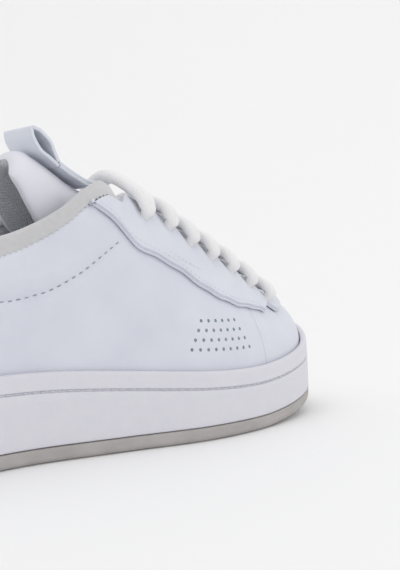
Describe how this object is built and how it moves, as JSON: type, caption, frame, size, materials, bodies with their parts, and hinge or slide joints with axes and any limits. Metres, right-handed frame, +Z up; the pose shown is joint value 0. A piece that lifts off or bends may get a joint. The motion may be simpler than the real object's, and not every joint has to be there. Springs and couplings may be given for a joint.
{
  "type": "court shoe",
  "caption": "Low-top lace-up court shoe for a right foot: stitched cupsole, smooth leather upper, padded collar and tongue with a pull loop.",
  "frame": {"origin": "on the floor, under the middle of the sole's length and width", "axes": "+X towards the toe, +Z up, -Y towards the outer (lateral) side; right shoe"},
  "size_m": [0.3001, 0.1093, 0.1479],
  "materials": {
    "outsole_rubber": "matt grey rubber",
    "cupsole_rubber": "fine pebbled white rubber",
    "thread": "waxed thread",
    "foam": "foam",
    "board": "stitched insole board",
    "lining_cloth": "ribbed knit",
    "white_leather": "smooth satin leather",
    "stiffener": "thermoplastic sheet",
    "suede": "suede",
    "tongue_leather": "smooth satin leather",
    "strap_leather": "smooth leather",
    "lace_cotton": "woven cotton"
  },
  "bodies": {
    "root": {"outsole": "outsole_rubber", "cupsole": "cupsole_rubber", "sole_stitching": "thread", "midsole_foam": "foam", "strobel_board": "board", "quarter_lateral": "white_leather", "quarter_medial": "white_leather", "vamp": "white_leather", "lace_facing": "white_leather", "heel_tab": "white_leather", "heel_counter": "stiffener", "toe_puff": "stiffener", "collar_foam": "foam", "collar_lining": "lining_cloth", "collar_binding": "suede", "vamp_lining": "lining_cloth", "tongue_base_shell": "tongue_leather", "tongue_base_foam": "foam", "tongue_base_lining": "lining_cloth", "lace": "lace_cotton"},
    "tongue_top": {"tongue_top_shell": "tongue_leather", "tongue_top_foam": "foam", "tongue_top_lining": "lining_cloth", "tongue_strap": "strap_leather"},
    "pull_loop": {"pull_loop": "strap_leather"},
    "sockliner": {"sockliner": "lining_cloth"}
  },
  "joints": [
    {"name": "tongue_tilt", "type": "hinge", "parent": "root", "child": "tongue_top", "pos_m": [-0.004, 0, 0.12], "axis": [0, 1, 0], "range_deg": [0, 35]},
    {"name": "loop_swing", "type": "hinge", "parent": "tongue_top", "child": "pull_loop", "pos_m": [-0.0262, 0, 0.1333], "axis": [0, 1, 0], "range_deg": [0, 55], "stiffness_Nm_per_rad": 0.01},
    {"name": "sockliner_lift", "type": "hinge", "parent": "root", "child": "sockliner", "pos_m": [0.136, 0, 0.0335], "axis": [0, 1, 0], "range_deg": [0, 5]}
  ]
}
